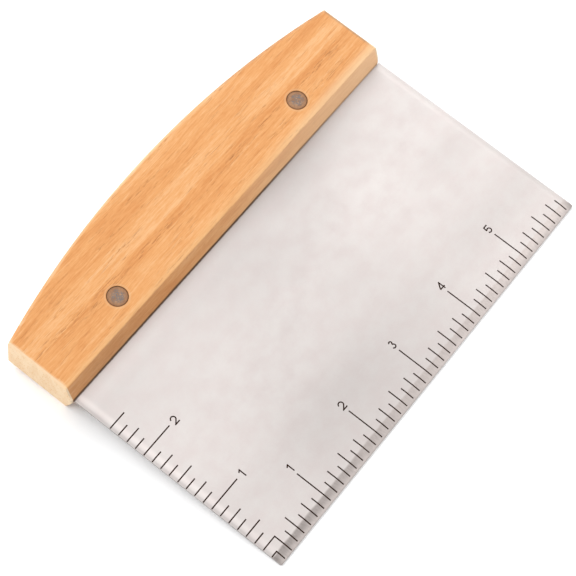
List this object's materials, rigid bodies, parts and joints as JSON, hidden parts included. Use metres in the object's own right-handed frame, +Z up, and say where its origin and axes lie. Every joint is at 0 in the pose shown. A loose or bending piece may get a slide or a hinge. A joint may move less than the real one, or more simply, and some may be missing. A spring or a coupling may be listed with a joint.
{
  "type": "bench scraper",
  "caption": "Bench scraper: a flat steel blade with a ground working edge and an etched inch scale, riveted in a bow-topped wooden handle. Cuts, lifts and portions dough.",
  "frame": {"origin": "on the bench, under the middle of the tool's bounding box, with the tool lying as it rests: on the back corner of its working edge and on the softened strip at the foot of the handle's back", "axes": "+X along the handle and the working edge, +Y from the working edge to the handle, +Z up, out of the face that carries the scale; the blade rises 4.9 degrees from the working edge to the handle"},
  "size_m": [0.1518, 0.111, 0.0173],
  "materials": {
    "handle_wood": "satin, lightly oiled",
    "blade_steel": "fine satin",
    "rivet_metal": "sanded flush, dull",
    "scale_black": "matte, dark etched oxide"
  },
  "bodies": {
    "root": {"handle": "handle_wood", "blade": "blade_steel", "rivet_post_left": "rivet_metal", "rivet_post_right": "rivet_metal", "rivet_sleeve_left": "rivet_metal", "rivet_sleeve_right": "rivet_metal"}
  },
  "joints": []
}
